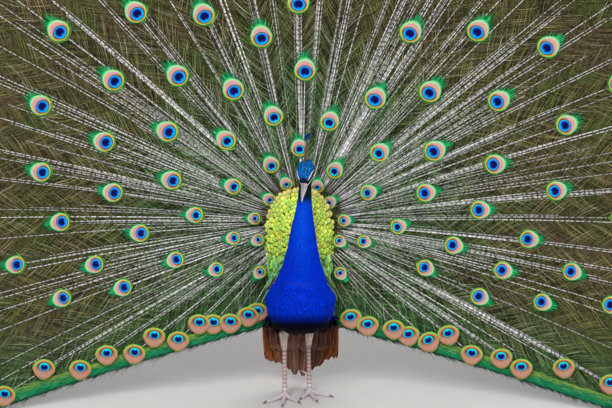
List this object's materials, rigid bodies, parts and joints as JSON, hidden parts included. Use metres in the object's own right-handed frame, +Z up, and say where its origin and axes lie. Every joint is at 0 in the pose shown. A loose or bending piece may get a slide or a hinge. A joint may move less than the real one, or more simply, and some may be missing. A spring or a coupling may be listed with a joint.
{
  "type": "peacock",
  "caption": "Life-size standing peacock in full display: upright neck, train fanned in a shallow bowl, erect tail, drooped wings, two scaly feet flat on the floor.",
  "frame": {"origin": "on the floor, under the middle of the model's box", "axes": "the bird faces -Y, +X is its left side and the width of the fan, +Z is up"},
  "size_m": [2.1536, 0.3808, 1.6404],
  "materials": {
    "blue_plumage": "iridescent cobalt blue feathers, satin",
    "crown_plumage": "short curly azure feathers, satin",
    "crest_feathers": "bare brown shafts with blue-green tips",
    "eyes": "wet dark brown",
    "horn": "pale grey horn",
    "mantle_scales": "golden green scale feathers, metallic satin",
    "drab_plumage": "grey-brown down, matte",
    "train_feathers": "bronze-green barbs with eyespots, satin",
    "tail_feathers": "grey-brown quill feathers, matte",
    "wing_coverts": "buff feathers with dark bars, matte",
    "flight_feathers": "chestnut quill feathers, satin",
    "thigh_plumage": "cream feathers, matte",
    "leg_scales": "pale grey-pink scutes, satin",
    "claws": "grey-brown horn"
  },
  "bodies": {
    "root": {"bill_lower": "horn", "bill_upper": "horn", "breast": "blue_plumage", "claw_left_1": "claws", "claw_left_2": "claws", "claw_left_3": "claws", "claw_left_4": "claws", "claw_right_1": "claws", "claw_right_2": "claws", "claw_right_3": "claws", "claw_right_4": "claws", "crest": "crest_feathers", "eye_left": "eyes", "eye_right": "eyes", "foot_left": "leg_scales", "foot_right": "leg_scales", "head": "crown_plumage", "mantle": "mantle_scales", "neck_lower": "blue_plumage", "neck_upper": "blue_plumage", "primaries_left": "flight_feathers", "primaries_right": "flight_feathers", "rump": "drab_plumage", "spur_left": "horn", "spur_right": "horn", "tail": "tail_feathers", "tarsus_left": "leg_scales", "tarsus_right": "leg_scales", "thigh_left": "thigh_plumage", "thigh_right": "thigh_plumage", "train_01": "train_feathers", "train_02": "train_feathers", "train_03": "train_feathers", "train_04": "train_feathers", "train_05": "train_feathers", "train_06": "train_feathers", "train_07": "train_feathers", "train_08": "train_feathers", "train_09": "train_feathers", "train_10": "train_feathers", "train_11": "train_feathers", "train_12": "train_feathers", "trunk": "drab_plumage", "wing_left": "wing_coverts", "wing_right": "wing_coverts"}
  },
  "joints": []
}
